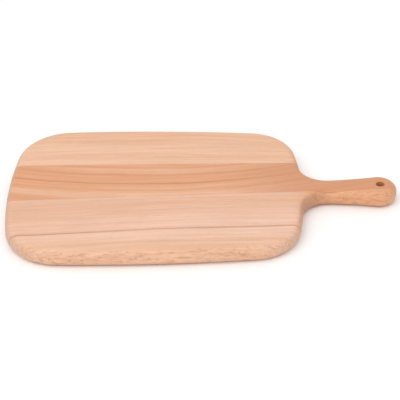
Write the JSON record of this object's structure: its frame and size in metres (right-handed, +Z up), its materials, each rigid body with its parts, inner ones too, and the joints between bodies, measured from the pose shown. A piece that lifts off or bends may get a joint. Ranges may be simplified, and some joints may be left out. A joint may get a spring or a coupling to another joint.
{
  "type": "cutting board",
  "caption": "Flat wooden cutting board with bowed sides, rounded corners and edges, and a waisted handle with a hanging hole, edge-glued from staves.",
  "frame": {"origin": "centre of the bounding box's bottom face: under the middle of the overall length, on the centreline, at the underside that rests on the worktop", "axes": "+X along the grain from the heel to the handle's tip, +Y to the rear edge, +Z up from the underside to the work face"},
  "size_m": [0.4, 0.228, 0.019],
  "materials": {
    "beech_rear": "satin, oiled, sanded smooth",
    "beech_handle": "satin, oiled, sanded smooth",
    "beech_middle": "satin, oiled, sanded smooth",
    "beech_front": "satin, oiled, sanded smooth",
    "wood_glue": "dried wood glue, level with the wood"
  },
  "bodies": {
    "root": {"rear_stave": "beech_rear", "handle_stave": "beech_handle", "middle_stave": "beech_middle", "front_stave": "beech_front", "rear_glue_line": "wood_glue", "middle_glue_line": "wood_glue", "front_glue_line": "wood_glue"}
  },
  "joints": []
}
